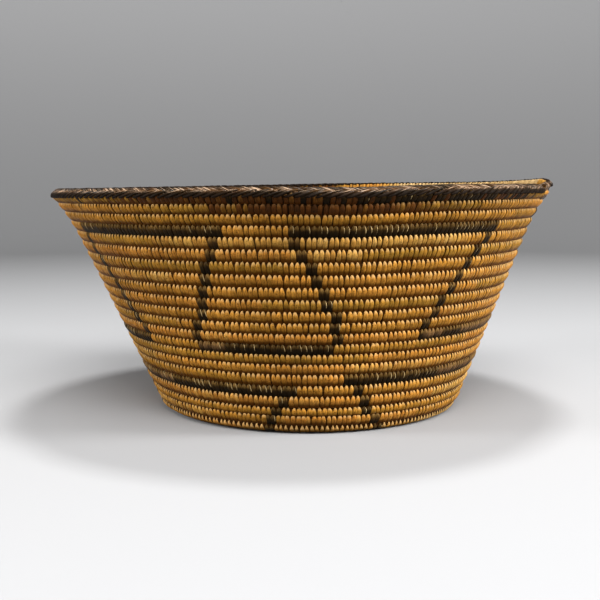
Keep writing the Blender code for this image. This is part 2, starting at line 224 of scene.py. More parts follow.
# Colours of specks, of wear with a painted highlight on top, of slivers, of painted highlight streaks, and
# of the painted shade at the feet of stitches and strands
LIGHT_SPECK = (0.09, 0.030, 0.004)
LIGHT_WEAR_AND_HIGHLIGHT = (0.68, 0.44, 0.185)
LIGHT_FOOT = (0.100, 0.028, 0.001)
DARK_WEAR_AND_HIGHLIGHT = (0.28, 0.155, 0.042)
DARK_FOOT = (0.007, 0.004, 0.001)
PALE_SLIVER = (0.62, 0.44, 0.20)
BRAID_WEAR_AND_HIGHLIGHT = (0.155, 0.072, 0.025)
BRAID_PAINTED_HIGHLIGHT = (0.64, 0.44, 0.29)
BRAID_FOOT = (0.008, 0.0035, 0.001)
# How fine a grain is across a splint and along it, and how far apart its places lie from splint to splint
FIBRE_GRAIN = (4.5, 6.0, 90.0)
HIGHLIGHT_STREAK_GRAIN = (2.6, 3.0, 70.0)
GRASS_GRAIN = (30.0, 60.0, 0.0)
BLOTCHES = 28.0  # to the metre
SPECKS = 1200.0
SPLINTS_IN_A_STRAND = 3
GRAIN_RANGE = (0.3, 0.7)  # between which most of a grain's values lie
# From where to where the painted shade at the stitches' edges grows deeper: up the wall, and from the
# bowl's middle to its sides
EDGE_SHADE_UP = (70.0 * MM, 105.0 * MM)
EDGE_SHADE_ASIDE = (45.0 * MM, 85.0 * MM)

# The studio: a round floor that bends up into a wall, and softboxes
FLOOR_RADIUS = 2.2
FLOOR_BEND = 0.8
FLOOR_SIDES = 96
BEND_STEPS = 12
BACKDROP_TOP = 3.0
BACKDROP_HEIGHT = 1.2  # from which upward it has its own colour
BACKDROP_COLOUR = (0.85, 0.85, 0.86)
FLOOR_COLOUR = (0.36, 0.36, 0.365)
BOUNCE_COLOUR = (0.07, 0.07, 0.07)  # of both, for the light that they throw back
# Name, place, size and power in watts of each lamp
LAMPS = (
    ("key_softbox", (0.18, -0.95, 1.15), 0.9, 28.0),
    ("top_softbox", (0.1, 0.2, 1.5), 0.25, 17.0),
    ("left_softbox", (-1.25, -0.35, 0.55), 0.35, 14.0),
    ("right_softbox", (1.25, -0.3, 0.6), 0.35, 21.0),
    ("low_softbox", (0.25, -1.3, 0.3), 0.5, 2.5),
)
LAMPS_AIM = (0.0, 0.0, 0.07)
WORLD_STRENGTH = 0.10

# The camera, fitted to the photograph
CAMERA_PLACE = (0.0, -559.6 * MM, 123.7 * MM)
CAMERA_PITCH = 0.11545
CAMERA_HEADING = 0.00968
CAMERA_ROLL = 0.00274
SENSOR = 36.0
FOCAL_PIXELS = 957.1
FRAME_PIXELS = 600
LENS = FOCAL_PIXELS / FRAME_PIXELS * SENSOR


def thickness(turn):
    """The coil's thickness as a share of the full one."""
    return TIP_SHARE + (1 - TIP_SHARE) * np.clip(turn / TAPER_TURNS, 0, 1)


def length_at(turn):
    """How far along the bowl's profile from the bowl's axis the coil's middle lies."""
    calm = np.clip((WAVE_END - turn) / WAVE_FADE, 0, 1)
    shift = WAVE * np.sin(2 * pi * turn / WAVE_TURNS) * calm + np.interp(turn, FOOT_TURNS, FOOT_SHIFTS)
    return PROFILE_LENGTH + TIP_LIFT - COIL_PITCH * turn - COIL_RADIUS * (1 - thickness(turn)) + shift


def row_height(turn):
    """From the coil's middle to the middle of the row below."""
    return length_at(turn) - length_at(turn + 1)


def profile(length):
    """Radius, height and slope of the bowl at lengths along its profile."""
    angle = np.clip((length - BASE_RADIUS) / CORNER_RADIUS, 0, WALL_SLOPE)
    past_corner = length - BASE_RADIUS - CORNER_LENGTH
    straight = np.clip(past_corner, 0, WALL_LENGTH)
    bent = np.clip(past_corner - WALL_LENGTH, 0, None)
    slope = angle - LIP_BEND * bent
    radius = np.minimum(length, BASE_RADIUS) + CORNER_RADIUS * np.sin(angle) + straight * cos(WALL_SLOPE)
    height = BASE_HEIGHT + CORNER_RADIUS * (1 - np.cos(angle)) + straight * sin(WALL_SLOPE)
    on_lip = bent > 0
    radius = radius + on_lip * (sin(WALL_SLOPE) - np.sin(slope)) / LIP_BEND
    height = height + on_lip * (np.cos(slope) - cos(WALL_SLOPE)) / LIP_BEND
    return radius, height, slope


RIM_RADIUS, RIM_HEIGHT = (float(value) for value in profile(np.array(PROFILE_LENGTH))[:2])
LAST_TURN = (PROFILE_LENGTH + TIP_LIFT - START_RADIUS) / COIL_PITCH


def places(turn, around, distance):
    """Points at a distance from the coil's middle, at an angle round its section."""
    across = distance * np.cos(around) * (1 + TOP_HEAVY * np.sin(around))
    along = distance * np.sin(around)
    radius, height, slope = profile(length_at(turn))
    angle = radians(TIP_ANGLE) + 2 * pi * turn
    share = (height - BASE_HEIGHT) / (RIM_HEIGHT - BASE_HEIGHT)
    out = across * np.sin(slope) + along * np.cos(slope)
    up = along * np.sin(slope) - across * np.cos(slope)
    x = (radius + out) * np.sin(angle)
    y = -(radius + out) * np.cos(angle)
    z = height + up + RIM_RISE * share * radius * np.sin(angle) / RIM_RADIUS
    for sag, middle, spread in SAGS:
        away = (np.degrees(angle) - middle + FULL_ANGLE / 2) % FULL_ANGLE - FULL_ANGLE / 2
        z = z - sag * share ** SAG_POWER * np.exp(-(away / spread) ** 2)
    z = (z + np.sqrt(z * z + 4 * FLOOR_SOFTNESS ** 2)) / 2
    return np.stack([x + RIM_SHIFT * share, y, z], -1)


def core_radius(turn, around):
    """From the coil's middle to its foundation's surface: a squarish oval that meets the rows beside it."""
    share = thickness(turn)
    half_height = (row_height(turn) / 2 + CORE_OVERLAP) * share
    half_height = np.where((turn < 1) & (np.sin(around) > 0), TOP_CORE * share, half_height)
    across = CORE_ACROSS * share
    power = abs(np.cos(around) / across) ** SQUARENESS + abs(np.sin(around) / half_height) ** SQUARENESS
    return power ** (-1 / SQUARENESS)


def turn_at(row, angle):
    """The place on the coil at an angle round the bowl, in a row counted from the rim."""
    return row + (angle - TIP_ANGLE) / FULL_ANGLE


# Meshes

def strip_grid(count, stations, points, closed):
    """The number of each quad's strip, station and point, and how many steps a strip has."""
    steps = stations if closed else stations - 1
    grids = np.meshgrid(np.arange(count), np.arange(steps), np.arange(points), indexing="ij")
    return *grids, steps


def strip_faces(count, stations, points, closed):
    """Quads between the points of neighbouring stations, for a number of strips."""
    strip, station, point, _ = strip_grid(count, stations, points, closed)
    here = strip * stations * points + station * points
    there = strip * stations * points + (station + 1) % stations * points
    beside = (point + 1) % points
    quads = np.stack([here + point, there + point, there + beside, here + beside], -1)
    return quads.reshape(-1, 4)


def in_cell(place, margin):
    """A place from 0 to 1, moved off both borders of its cell."""
    return margin + (1 - 2 * margin) * place


def atlas(count, stations, points, closed, ratio):
    """Corners in a square map that gives each strip a cell of its own."""
    strip, station, point, steps = strip_grid(count, stations, points, closed)
    columns = max(1, int(np.ceil(np.sqrt(count * ratio))))
    rows = max(1, int(np.ceil(count / columns)))
    corners = []
    for along, aside in ((0, 0), (1, 0), (1, 1), (0, 1)):
        u = (strip % columns + in_cell((point + aside) / points, CELL_MARGINS[0])) / columns
        v = (strip // columns + in_cell((station + along) / steps, CELL_MARGINS[1])) / rows
        corners.append(np.stack([u, v], -1))
    return np.stack(corners, -2).reshape(-1, 2)


def strip_piece(name, material, points, closed, ratio, facts):
    """A mesh of strips. points is (strips, stations, points, xyz); materials read the facts' vectors."""
    count, stations, around = points.shape[:3]
    faces = strip_faces(count, stations, around, closed).tolist()
    if not closed:
        for strip in range(count):
            first = strip * stations * around
            last = first + (stations - 1) * around
            faces.append(list(range(first, first + around)))
            faces.append(list(range(last + around - 1, last - 1, -1)))
    mesh = bpy.data.meshes.new(name)
    mesh.from_pydata(points.reshape(-1, 3), [], faces)
    for label, values in facts.items():
        layer = mesh.attributes.new(label, "FLOAT_VECTOR", "POINT")
        values = np.broadcast_to(values, points.shape)
        layer.data.foreach_set("vector", np.ascontiguousarray(values, dtype=np.float32).ravel())
    layer = mesh.uv_layers.new(name="OFBake")
    corners = np.zeros((len(mesh.loops), 2), dtype=np.float32)
    spread = atlas(count, stations, around, closed, ratio)
    corners[:len(spread)] = spread
    layer.data.foreach_set("uv", corners.ravel())
    mesh.shade_smooth()
    mesh.materials.append(material)
    piece = bpy.data.objects.new(name, mesh)
    bpy.context.scene.collection.objects.link(piece)
    return piece


# Stitches

def stitch_count(turns):
    """How many stitches lie between the coil's tip and each of these turns, which are even and rising."""
    radius = profile(length_at(turns))[0]
    rate = 2 * pi * (radius + CROWDING) / STITCH_PITCH
    steps = np.diff(turns) * (rate[1:] + rate[:-1]) / 2
    return np.concatenate([[0.0], np.cumsum(steps)])


def splint_tones(number, random):
    """A tone for each stitch: a splint lasts for a run of stitches, and then another one starts."""
    tones = np.zeros(number)
    start = 0
    while start < number:
        run = random.integers(*SPLINT_RUN)
        tones[start:start + run] = random.uniform()
        start += run
    return tones


class Sewing:
    """Where each stitch lies, where its foot goes into the row below, and how it differs from the rest."""

    def __init__(self, random):
        self.grid = np.linspace(0.0, LAST_TURN, COUNT_STEPS)
        self.counts = stitch_count(self.grid)
        number = int(self.counts[-1])
        self.order = np.arange(number) + 0.5
        self.turn = self.turn_of(self.order + JITTER * random.uniform(-1, 1, number))
        self.rate = np.interp(self.turn, self.grid, np.gradient(self.counts, self.grid))
        gap = np.round(self.count_at(self.turn + 1))
        foot = self.turn_of(gap) - 1
        self.shift = np.where(self.turn + 1 < LAST_TURN, foot - self.turn, 0.0)
        self.tone = splint_tones(number, random)
        self.own = random.uniform(size=number)
        self.seed = random.uniform(size=number)
        self.wider = 1 + UNEVEN * random.uniform(-1, 1, number)
        self.higher = 1 + UNEVEN * random.uniform(-1, 1, number)
        self.dice = random.uniform(size=number)
        self.twist = TWIST * random.uniform(-1, 1, number) / self.rate

    def turn_of(self, count):
        return np.interp(count, self.counts, self.grid)

    def count_at(self, turn):
        return np.interp(turn, self.grid, self.counts)


def stitch_points(sewing, chosen):
    """Points of the chosen stitches, each a closed band round the coil, and their places on it."""
    def each(values):
        return values[chosen][:, None, None]

    around = np.radians(np.array(STATIONS, dtype=float))[None, :, None]
    elevation = np.degrees(np.arcsin(np.sin(around)))
    across = np.array(SECTION)[None, None, :]
    half = STITCH_FILL / 2 * np.interp(elevation, WIDTH_PLACES, WIDTH_SHARES) * each(sewing.wider)
    lean = np.clip((LEAN_START - elevation) / LEAN_REACH, 0, 1)
    turn = each(sewing.turn) + each(sewing.shift) * lean + across * half / each(sewing.rate)
    turn = turn + each(sewing.twist) * np.clip(np.sin(around), 0, 1)
    edge = np.interp(elevation, CROWN_PLACES, EDGE_HEIGHTS)
    crown = edge + (np.interp(elevation, CROWN_PLACES, CROWN_HEIGHTS) - edge) * (1 - across ** 2)
    height = np.where(np.array(UPPER_SIDE) > 0, crown * each(sewing.higher), STITCH_ROOT) * thickness(turn)
    dive = HOLE_REACH * np.clip(-np.sin(around), 0, 1) ** DIVE_POWER
    points = places(turn, around, core_radius(turn, around) + height + dive)
    along = (around + pi / 2) / (2 * pi)
    place = np.stack(np.broadcast_arrays(across, elevation / RIGHT_ANGLE, along, turn)[:3], -1)
    return points, place


def upper_bars():
    """Start and end angles of the upper band's top bars, and how far inside them their legs' feet lie."""
    hidden = BARS_IN_A_ROW - len(SEEN_BAR_ANGLES)
    step = (SEEN_BAR_ANGLES[0][0] - UPPER_START_ANGLE) / hidden
    starts = [UPPER_START_ANGLE + step * number for number in range(hidden)]
    bars = [(start, start + step - UPPER_GAP_ANGLE, *HIDDEN_LEAN_ANGLES) for start in starts]
    return bars + [bar + leans for bar, leans in zip(SEEN_BAR_ANGLES, SEEN_LEAN_ANGLES)]


def upper_bottom_bars():
    """Each runs from the foot of one bar's right leg to the foot of the next bar's left leg."""
    lefts = [start + lean for start, _, lean, _ in upper_bars()]
    rights = [end - lean for _, end, _, lean in upper_bars()]
    return between(rights, lefts)


def between(rights, lefts):
    """The bars that run from the foot of each right leg to the foot of the next left leg."""
    return list(zip([rights[-1] - FULL_ANGLE] + rights[:-1], lefts))


def lower_bars():
    """Start and end angles of the lower band's top bars, the first and the last of which are seen."""
    first, last = LOWER_SEEN_BARS
    hidden = BARS_IN_A_ROW - len(LOWER_SEEN_BARS)
    step = (last[0] - first[1] - LOWER_GAP_ANGLE) / hidden
    starts = [first[1] + LOWER_GAP_ANGLE + step * number for number in range(hidden)]
    return [first] + [(start, start + step - LOWER_GAP_ANGLE) for start in starts] + [last]


def lower_bottom_bars():
    """The hidden bars on the base that close the lower band's boxes."""
    leans = [LOWER_LEG_INSET + LOWER_LEAN_SHARE * (end - start) for start, end in lower_bars()]
    lefts = [bar[0] + lean for bar, lean in zip(lower_bars(), leans)]
    rights = [bar[1] - lean for bar, lean in zip(lower_bars(), leans)]
    return between(rights, lefts)


def bar_ranges():
    """Name, first turn and last turn of each unbroken run of dark stitches."""
    rows = (
        ("upper_top_bar", UPPER_TURNS, [bar[:2] for bar in upper_bars()]),
        ("upper_bottom_bar", UPPER_BOTTOM_TURNS, upper_bottom_bars()),
        ("lower_top_bar", LOWER_TURNS, lower_bars()),
        ("lower_bottom_bar", LOWER_BOTTOM_TURNS, lower_bottom_bars()),
    )
    ranges = []
    for name, row, angles in rows:
        for number, (start, end) in enumerate(angles, 1):
            ranges.append((f"{name}_{number}", turn_at(row, start), turn_at(row, end)))
    return ranges


def leg_places():
    """Name of each leg, and the turns at which its pairs of dark stitches lie."""
    legs = []
    rows = UPPER_BOTTOM_TURNS - UPPER_TURNS
    steps = np.arange(1, rows)
    hidden = BARS_IN_A_ROW - len(SEEN_BAR_ANGLES)
    ways = [HIDDEN_LEGS] * hidden + list(zip(SEEN_LEFT_LEGS, SEEN_RIGHT_LEGS))
    for number, (bar, way) in enumerate(zip(upper_bars(), ways), 1):
        start, end, left_lean, right_lean = bar
        left, right = (inset + lean * steps for inset, lean in way)
        left = start + np.minimum(left, left_lean)
        right = end - np.minimum(right, right_lean)
        legs.append((f"upper_left_leg_{number}", turn_at(UPPER_TURNS + steps, left)))
        legs.append((f"upper_right_leg_{number}", turn_at(UPPER_TURNS + steps, right)))
    rows = LOWER_BOTTOM_TURNS - LOWER_TURNS
    steps = np.arange(1, rows)
    for number, (start, end) in enumerate(lower_bars(), 1):
        lean = LOWER_LEG_INSET + LOWER_LEAN_SHARE * (end - start) * steps / rows
        legs.append((f"lower_left_leg_{number}", turn_at(LOWER_TURNS + steps, start + lean)))
        legs.append((f"lower_right_leg_{number}", turn_at(LOWER_TURNS + steps, end - lean)))
    return legs


def front_angle(sewing):
    """Angles of the stitches, from 90 at the bowl's right side round the back to 450."""
    return (TIP_ANGLE + FULL_ANGLE * sewing.turn - RIGHT_ANGLE) % FULL_ANGLE + RIGHT_ANGLE


def light_tones(sewing):
    """Tones of the light stitches: the splints' own, and soiled and darkened by painted shade under the
    braid towards zero in the first rows.
    """
    angle = front_angle(sewing)
    middle = np.exp(-((angle - SOIL_AND_SHADE_MIDDLE) / SOIL_AND_SHADE_SPREAD) ** 2)
    tone = LIGHT_TONES_START + LIGHT_TONES_WIDTH * sewing.tone
    # Soil and painted shade under the braid darken the second and third rows in front
    for row, share in enumerate(SOILED_AND_SHADED_ROWS, 1):
        here = (sewing.turn >= row) & (sewing.turn < row + 1)
        tone = np.where(here, tone * (1 - share * middle), tone)
    # The rim's row takes its tones by angle, where the lowest are soil and painted shade under the braid
    return np.where(sewing.turn < 1, np.interp(angle, *RIM_ROW_TONE), tone)


def pattern(sewing):
    """Which stitches each part of the dark pattern holds."""
    groups = {}
    for name, first, last in bar_ranges():
        groups[name] = (sewing.turn >= first) & (sewing.turn <= last)
    for name, turns in leg_places():
        near = abs(sewing.order[:, None] - sewing.count_at(turns)[None, :]) < LEG_REACH
        groups[name] = near.any(axis=1)
    share = np.interp(front_angle(sewing), *RIM_ROW_DARK)
    groups["rim_row_dark"] = (sewing.turn < 1) & (sewing.dice < share)
    return groups


# Materials

def add(tree, kind, inputs=(), **settings):
    """A shader node with its settings, and with values or other nodes' outputs in its inputs."""
    node = tree.nodes.new(kind)
    for name, value in settings.items():
        setattr(node, name, value)
    for name, value in dict(inputs).items():
        if isinstance(value, bpy.types.NodeSocket):
            tree.links.new(value, node.inputs[name])
        elif isinstance(value, tuple) and len(value) == 3 and node.inputs[name].type == "RGBA":
            node.inputs[name].default_value = (*value, 1.0)
        else:
            node.inputs[name].default_value = value
    return node


def fact(tree, name):
    """The three values of a mesh's vector attribute."""
    attribute = add(tree, "ShaderNodeAttribute", attribute_name=name)
    return add(tree, "ShaderNodeSeparateXYZ", {0: attribute.outputs["Vector"]}).outputs


def calculated(tree, operation, first, second=0.0):
    return add(tree, "ShaderNodeMath", {0: first, 1: second}, operation=operation).outputs[0]


def times(tree, first, second):
    return calculated(tree, "MULTIPLY", first, second)


def ranged(tree, value, given, wanted=(0.0, 1.0)):
    """A value that goes smoothly through the wanted range while another goes through the given one."""
    inputs = {
        "Value": value,
        "From Min": given[0],
        "From Max": given[1],
        "To Min": wanted[0],
        "To Max": wanted[1],
    }
    return add(tree, "ShaderNodeMapRange", inputs, interpolation_type="SMOOTHSTEP").outputs[0]


def ramp(tree, value, stops):
    """The colour between the stops, each with its position and colour, at a value."""
    node = add(tree, "ShaderNodeValToRGB", {0: value})
    elements = node.color_ramp.elements
    while len(elements) < len(stops):
        elements.new(0.5)
    for element, (position, colour) in zip(elements, stops):
        element.position = position
        element.color = (*colour, 1.0)
    return node.outputs["Color"]


def mixed(tree, factor, first, second, blend="MIX"):
    inputs = {0: factor, 6: first, 7: second}
    return add(tree, "ShaderNodeMix", inputs, data_type="RGBA", blend_type=blend).outputs[2]


def scaled(tree, colour, value):
    """A colour, darkened or lightened by a value."""
    grey = add(tree, "ShaderNodeCombineColor", {0: value, 1: value, 2: value}).outputs[0]
    return mixed(tree, 1.0, colour, grey, "MULTIPLY")


def strayed(tree, value, dice, width):
    """A value, moved up or down by at most half the width, as the dice say."""
    return calculated(tree, "ADD", value, times(tree, calculated(tree, "SUBTRACT", dice, 0.5), width))


def vector(tree, x, y, z):
    return add(tree, "ShaderNodeCombineXYZ", {0: x, 1: y, 2: z}).outputs[0]


def noise(tree, where, scale, detail=3.0):
    return add(tree, "ShaderNodeTexNoise", {"Vector": where, "Scale": scale, "Detail": detail}).outputs[0]


def new_material(name, specular):
    material = bpy.data.materials.new(name)
    material.use_nodes = True
    shader = material.node_tree.nodes["Principled BSDF"]
    shader.inputs["Specular IOR Level"].default_value = specular
    return material, material.node_tree, shader


def finish_surface(tree, shader, colour, relief, roughness, strength, depth):
    tree.links.new(colour, shader.inputs["Base Color"])
    tree.links.new(roughness, shader.inputs["Roughness"])
    bump = add(tree, "ShaderNodeBump", {"Strength": strength, "Distance": depth, "Height": relief})
    tree.links.new(bump.outputs[0], shader.inputs["Normal"])


def grain(tree, across, along, seed, scales, detail=3.0):
    """Noise drawn out along a splint, unlike from one splint to the next."""
    where = [times(tree, value, scale) for value, scale in zip((across, along, seed), scales)]
    return noise(tree, vector(tree, *where), 1.0, detail)


def stitch_edge_shade(tree, across, height, where):
    """How much painted shade darkens a stitch at its edges: the more so high on the wall and round its
    sides.
    """
    aside, _, up = add(tree, "ShaderNodeSeparateXYZ", {0: where}).outputs
    sideways = ranged(tree, calculated(tree, "ABSOLUTE", aside), EDGE_SHADE_ASIDE)
    far = calculated(tree, "MAXIMUM", ranged(tree, up, EDGE_SHADE_UP), sideways)
    lowest = ranged(tree, far, (0.0, 1.0), (0.40, 0.85))
    edge = ranged(tree, calculated(tree, "ABSOLUTE", across), (0.70, 1.0))
    return times(tree, edge, ranged(tree, height, (0.0, 0.45), (lowest, 0.88)))


def light_material():
    """Golden-tan splint with fibres and specks: pale on top with wear and a painted highlight, with painted
    shade at its foot and at its edges, darker inside the bowl.
    """
    material, tree, shader = new_material("light_splint_stitches", specular=0.05)
    tone, own, seed = fact(tree, "splint")
    across, elevation, along = fact(tree, "place")
    shade = strayed(tree, tone, own, 0.1)
    colour = ramp(tree, shade, LIGHT_COLOURS)
    fibres = grain(tree, across, along, seed, FIBRE_GRAIN)
    colour = scaled(tree, colour, ranged(tree, fibres, GRAIN_RANGE, (0.60, 1.30)))
    colour = scaled(tree, colour, strayed(tree, 1.0, own, 0.24))
    where = add(tree, "ShaderNodeTexCoord").outputs["Object"]
    colour = scaled(tree, colour, ranged(tree, noise(tree, where, BLOTCHES), (0.35, 0.65), (0.84, 1.12)))
    speck = ranged(tree, noise(tree, where, SPECKS, detail=2.0), (0.56, 0.68), (0.0, 0.6))
    colour = mixed(tree, speck, colour, LIGHT_SPECK)
    height = strayed(tree, elevation, seed, 0.2)
    # Wear and a painted highlight make the tops of the stitches pale
    wear_and_highlight = times(tree, ranged(tree, height, (0.36, 0.72), (0.0, 0.55)), ranged(tree, shade, (0.0, 0.25)))
    colour = mixed(tree, wear_and_highlight, colour, LIGHT_WEAR_AND_HIGHLIGHT)
    colour = mixed(tree, ranged(tree, height, (0.05, -0.42), (0.0, 0.90)), colour, LIGHT_FOOT)
    # Painted shade between neighbouring stitches
    edge_shade = stitch_edge_shade(tree, across, height, where)
    colour = scaled(tree, colour, calculated(tree, "SUBTRACT", 1.0, edge_shade))
    colour = scaled(tree, colour, ranged(tree, along, (0.5, 0.62), (1.0, 0.68)))
    roughness = ranged(tree, fibres, GRAIN_RANGE, (0.42, 0.58))
    finish_surface(tree, shader, colour, fibres, roughness, strength=0.3, depth=0.1 * MM)
    return material


def dark_material():
    """Near-black splint, browner in places, with pale slivers of foundation beside some stitches."""
    material, tree, shader = new_material("dark_splint_stitches", specular=0.04)
    tone, own, seed = fact(tree, "splint")
    across, elevation, along = fact(tree, "place")
    colour = ramp(tree, tone, DARK_COLOURS)
    fibres = grain(tree, across, along, seed, FIBRE_GRAIN)
    colour = scaled(tree, colour, ranged(tree, fibres, GRAIN_RANGE, (0.5, 1.35)))
    colour = scaled(tree, colour, ranged(tree, seed, (0.0, 1.0), (0.7, 1.7)))
    # Wear and a painted highlight make the tops of the dark stitches browner
    raised = ranged(tree, elevation, (0.10, 0.60), (0.0, 0.82))
    wear_and_highlight = times(tree, raised, ranged(tree, fibres, (0.35, 0.6)))
    wear_and_highlight = times(tree, wear_and_highlight, ranged(tree, tone, (0.0, 0.5), (0.3, 1.0)))
    colour = mixed(tree, wear_and_highlight, colour, DARK_WEAR_AND_HIGHLIGHT)
    colour = mixed(tree, ranged(tree, elevation, (0.16, -0.40), (0.0, 0.8)), colour, DARK_FOOT)
    beside = ranged(tree, across, (0.60, 0.78))
    picked = ranged(tree, own, (0.68, 0.70))
    height = ranged(tree, elevation, (-0.2, 0.1))
    frayed = ranged(tree, fibres, (0.35, 0.5), (0.4, 1.0))
    sliver = times(tree, times(tree, beside, picked), times(tree, height, frayed))
    colour = mixed(tree, sliver, colour, PALE_SLIVER)
    roughness = ranged(tree, fibres, GRAIN_RANGE, (0.38, 0.55))
    finish_surface(tree, shader, colour, fibres, roughness, strength=0.25, depth=0.1 * MM)
    return material


def braid_material():
    """Polished dark brown splint, three to a strand, with painted highlights in pale streaks and wear with
    a painted highlight on the strands' raised parts, and painted shade at their feet.
    """
    material, tree, shader = new_material("braid_splint_strands", specular=0.06)
    tone, own, seed = fact(tree, "splint")
    across, height, along = fact(tree, "place")
    colour = ramp(tree, tone, BRAID_COLOURS)
    fibres = grain(tree, across, along, seed, FIBRE_GRAIN)
    colour = scaled(tree, colour, ranged(tree, fibres, GRAIN_RANGE, (0.45, 1.5)))
    # Wear and a painted highlight make the strands' raised parts browner
    wear_and_highlight = times(tree, ranged(tree, height, (0.45, 0.85), (0.0, 0.6)), ranged(tree, own, (0.2, 0.9)))
    colour = mixed(tree, wear_and_highlight, colour, BRAID_WEAR_AND_HIGHLIGHT)
    # Painted highlights in pale streaks on the strands' raised parts
    painted_highlight = ranged(tree, grain(tree, across, along, own, HIGHLIGHT_STREAK_GRAIN, detail=1.0), (0.52, 0.66))
    painted_highlight = times(tree, painted_highlight, ranged(tree, height, (0.42, 0.70), (0.0, 0.70)))
    colour = mixed(tree, painted_highlight, colour, BRAID_PAINTED_HIGHLIGHT)
    colour = mixed(tree, ranged(tree, height, (0.68, 0.22), (0.0, 0.94)), colour, BRAID_FOOT)
    waves = calculated(tree, "COSINE", times(tree, across, SPLINTS_IN_A_STRAND * pi / 2))
    splints = calculated(tree, "ABSOLUTE", waves)
    colour = scaled(tree, colour, ranged(tree, splints, (0.0, 0.55), (0.22, 1.0)))
    roughness = ranged(tree, height, (0.30, 0.75), (0.60, 0.22))
    relief = calculated(tree, "ADD", times(tree, splints, 0.7), times(tree, fibres, 0.5))
    finish_surface(tree, shader, colour, relief, roughness, strength=0.5, depth=0.2 * MM)
    return material


def foundation_material():
    """The bundle of grass, seen in the slits between the stitches, its colour darkened as painted shade."""
    material, tree, shader = new_material("foundation_grass", specular=0.05)
    _, around, along = fact(tree, "place")
    stems = grain(tree, around, along, 0.0, GRASS_GRAIN)
    # The grass's colour, darkened as painted shade in the slits
    colour = ramp(tree, stems, SHADED_GRASS_COLOURS)
    roughness = ranged(tree, stems, GRAIN_RANGE, (0.7, 0.9))
    finish_surface(tree, shader, colour, stems, roughness, strength=0.4, depth=0.2 * MM)
    return material


# The pieces

def dress(piece, slot, *nodes):
    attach(piece, "root")
    if nodes:
        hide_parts(*nodes)


def make_foundation():
    turn = np.linspace(0.0, LAST_TURN, int(LAST_TURN * CORE_STATIONS))[None, :, None]
    around = (2 * pi * np.arange(CORE_POINTS) / CORE_POINTS)[None, None, :]
    points = places(turn, around, core_radius(turn, around))
    place = np.stack(np.broadcast_arrays(0.0, around / (2 * pi), turn), -1)
    piece = strip_piece("foundation_coil", foundation_material(), points, False, 1.0, {"place": place})
    dress(piece, "light_splint", "wall_coil", "base_coil", "start_knot")


def make_stitch_piece(sewing, name, chosen, material, slot, tone, own, *nodes):
    points, place = stitch_points(sewing, chosen)
    splint = np.stack([tone[chosen], own[chosen], sewing.seed[chosen]], -1)[:, None, None, :]
    piece = strip_piece(name, material, points, True, STITCH_COLUMNS, {"splint": splint, "place": place})
    dress(piece, slot, *nodes)


def make_stitches(random):
    sewing = Sewing(random)
    light = light_material()
    light_tone = light_tones(sewing)
    dark = dark_material()
    cad_nodes = set(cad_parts)
    dark_tone = DARK_TONES_END * sewing.tone
    for row, first, last in FADED_RUNS:
        faded = (sewing.turn > turn_at(row, first)) & (sewing.turn < turn_at(row, last))
        dark_tone = np.where(faded, FADED_TONE, dark_tone)
    is_dark = np.zeros(len(sewing.turn), dtype=bool)
    for name, chosen in pattern(sewing).items():
        chosen = chosen & ~is_dark
        is_dark |= chosen
        own = sewing.own ** SLIVERED_BARS.get(name, SLIVER_RARITY)
        nodes = [name] if name in cad_nodes else []
        make_stitch_piece(sewing, f"{name}_stitches", chosen, dark, "dark_splint", dark_tone, own, *nodes)
    for row in range(int(LAST_TURN) + 1):
        chosen = ~is_dark & (sewing.turn >= row) & (sewing.turn < row + 1)
        name = f"light_row_{row + 1:02d}_stitches"
        make_stitch_piece(sewing, name, chosen, light, "light_splint", light_tone, sewing.own)


def crowned(across, edge):
    """How high a strand's upper side is across it: 1 in its middle, and less at its edges."""
    return edge + (1 - edge) * (1 - across ** 2)


def braid_family(inner, random):
    """Strands that climb forward from one foot of the braid, over the rim, and dive past its middle."""
    rim = 2 * pi * RIM_RADIUS
    reach = STRAND_ADVANCE / rim
    count = int(rim / STRAND_PITCH)
    start = (np.arange(count) + (0.5 if inner else 0.0)) / count
    start = start[(start > STRAND_WIDTH / rim) & (start < 1 - reach / 2)]

    def uneven(amount):
        return 1 + amount * random.uniform(-1, 1, len(start))[:, None, None]

    along = np.linspace(0.0, 1.0, STRAND_STATIONS)[None, :, None]
    across = np.array(SECTION)[None, None, :]
    if inner:
        foot = np.interp(TIP_ANGLE + FULL_ANGLE * start, *INNER_FOOT)[:, None, None]
        around = foot + (INNER_END - foot) * along
    else:
        around = OUTER_FOOT + (OUTER_END - OUTER_FOOT) * along
    taper = np.interp(along, TAPER_PLACES, TAPER_SHARES)
    lift = np.interp(along, LIFT_PLACES, LIFT_SHARES) * STRAND_LIFT
    half = STRAND_WIDTH / rim / 2 * taper * uneven(UNEVEN_SIZE)
    advance = reach * uneven(UNEVEN_ADVANCE) * along ** STRAND_CURVE
    turn = start[:, None, None] + advance + across * half
    crown = STRAND_CROWN * crowned(across, STRAND_EDGE) * uneven(UNEVEN_SIZE) + STRAND_TILT * across
    height = np.where(np.array(UPPER_SIDE) > 0, lift + crown, lift - STRAND_DEPTH)
    bed = BRAID_BED - COIL_RADIUS * (1 - thickness(turn))
    points = places(turn, around, bed + height)
    place = np.stack(np.broadcast_arrays(across, along, along * STRAND_GRAIN, turn)[:3], -1)
    splint = random.uniform(size=(len(start), 1, 1, 3))
    return points, {"splint": splint, "place": place}


def make_braid(material, random):
    for name, inner in (("braid_outer_strands", False), ("braid_inner_strands", True)):
        points, facts = braid_family(inner, random)
        piece = strip_piece(name, material, points, False, STRAND_COLUMNS, facts)
        dress(piece, "braid_splint", "rim_braid")


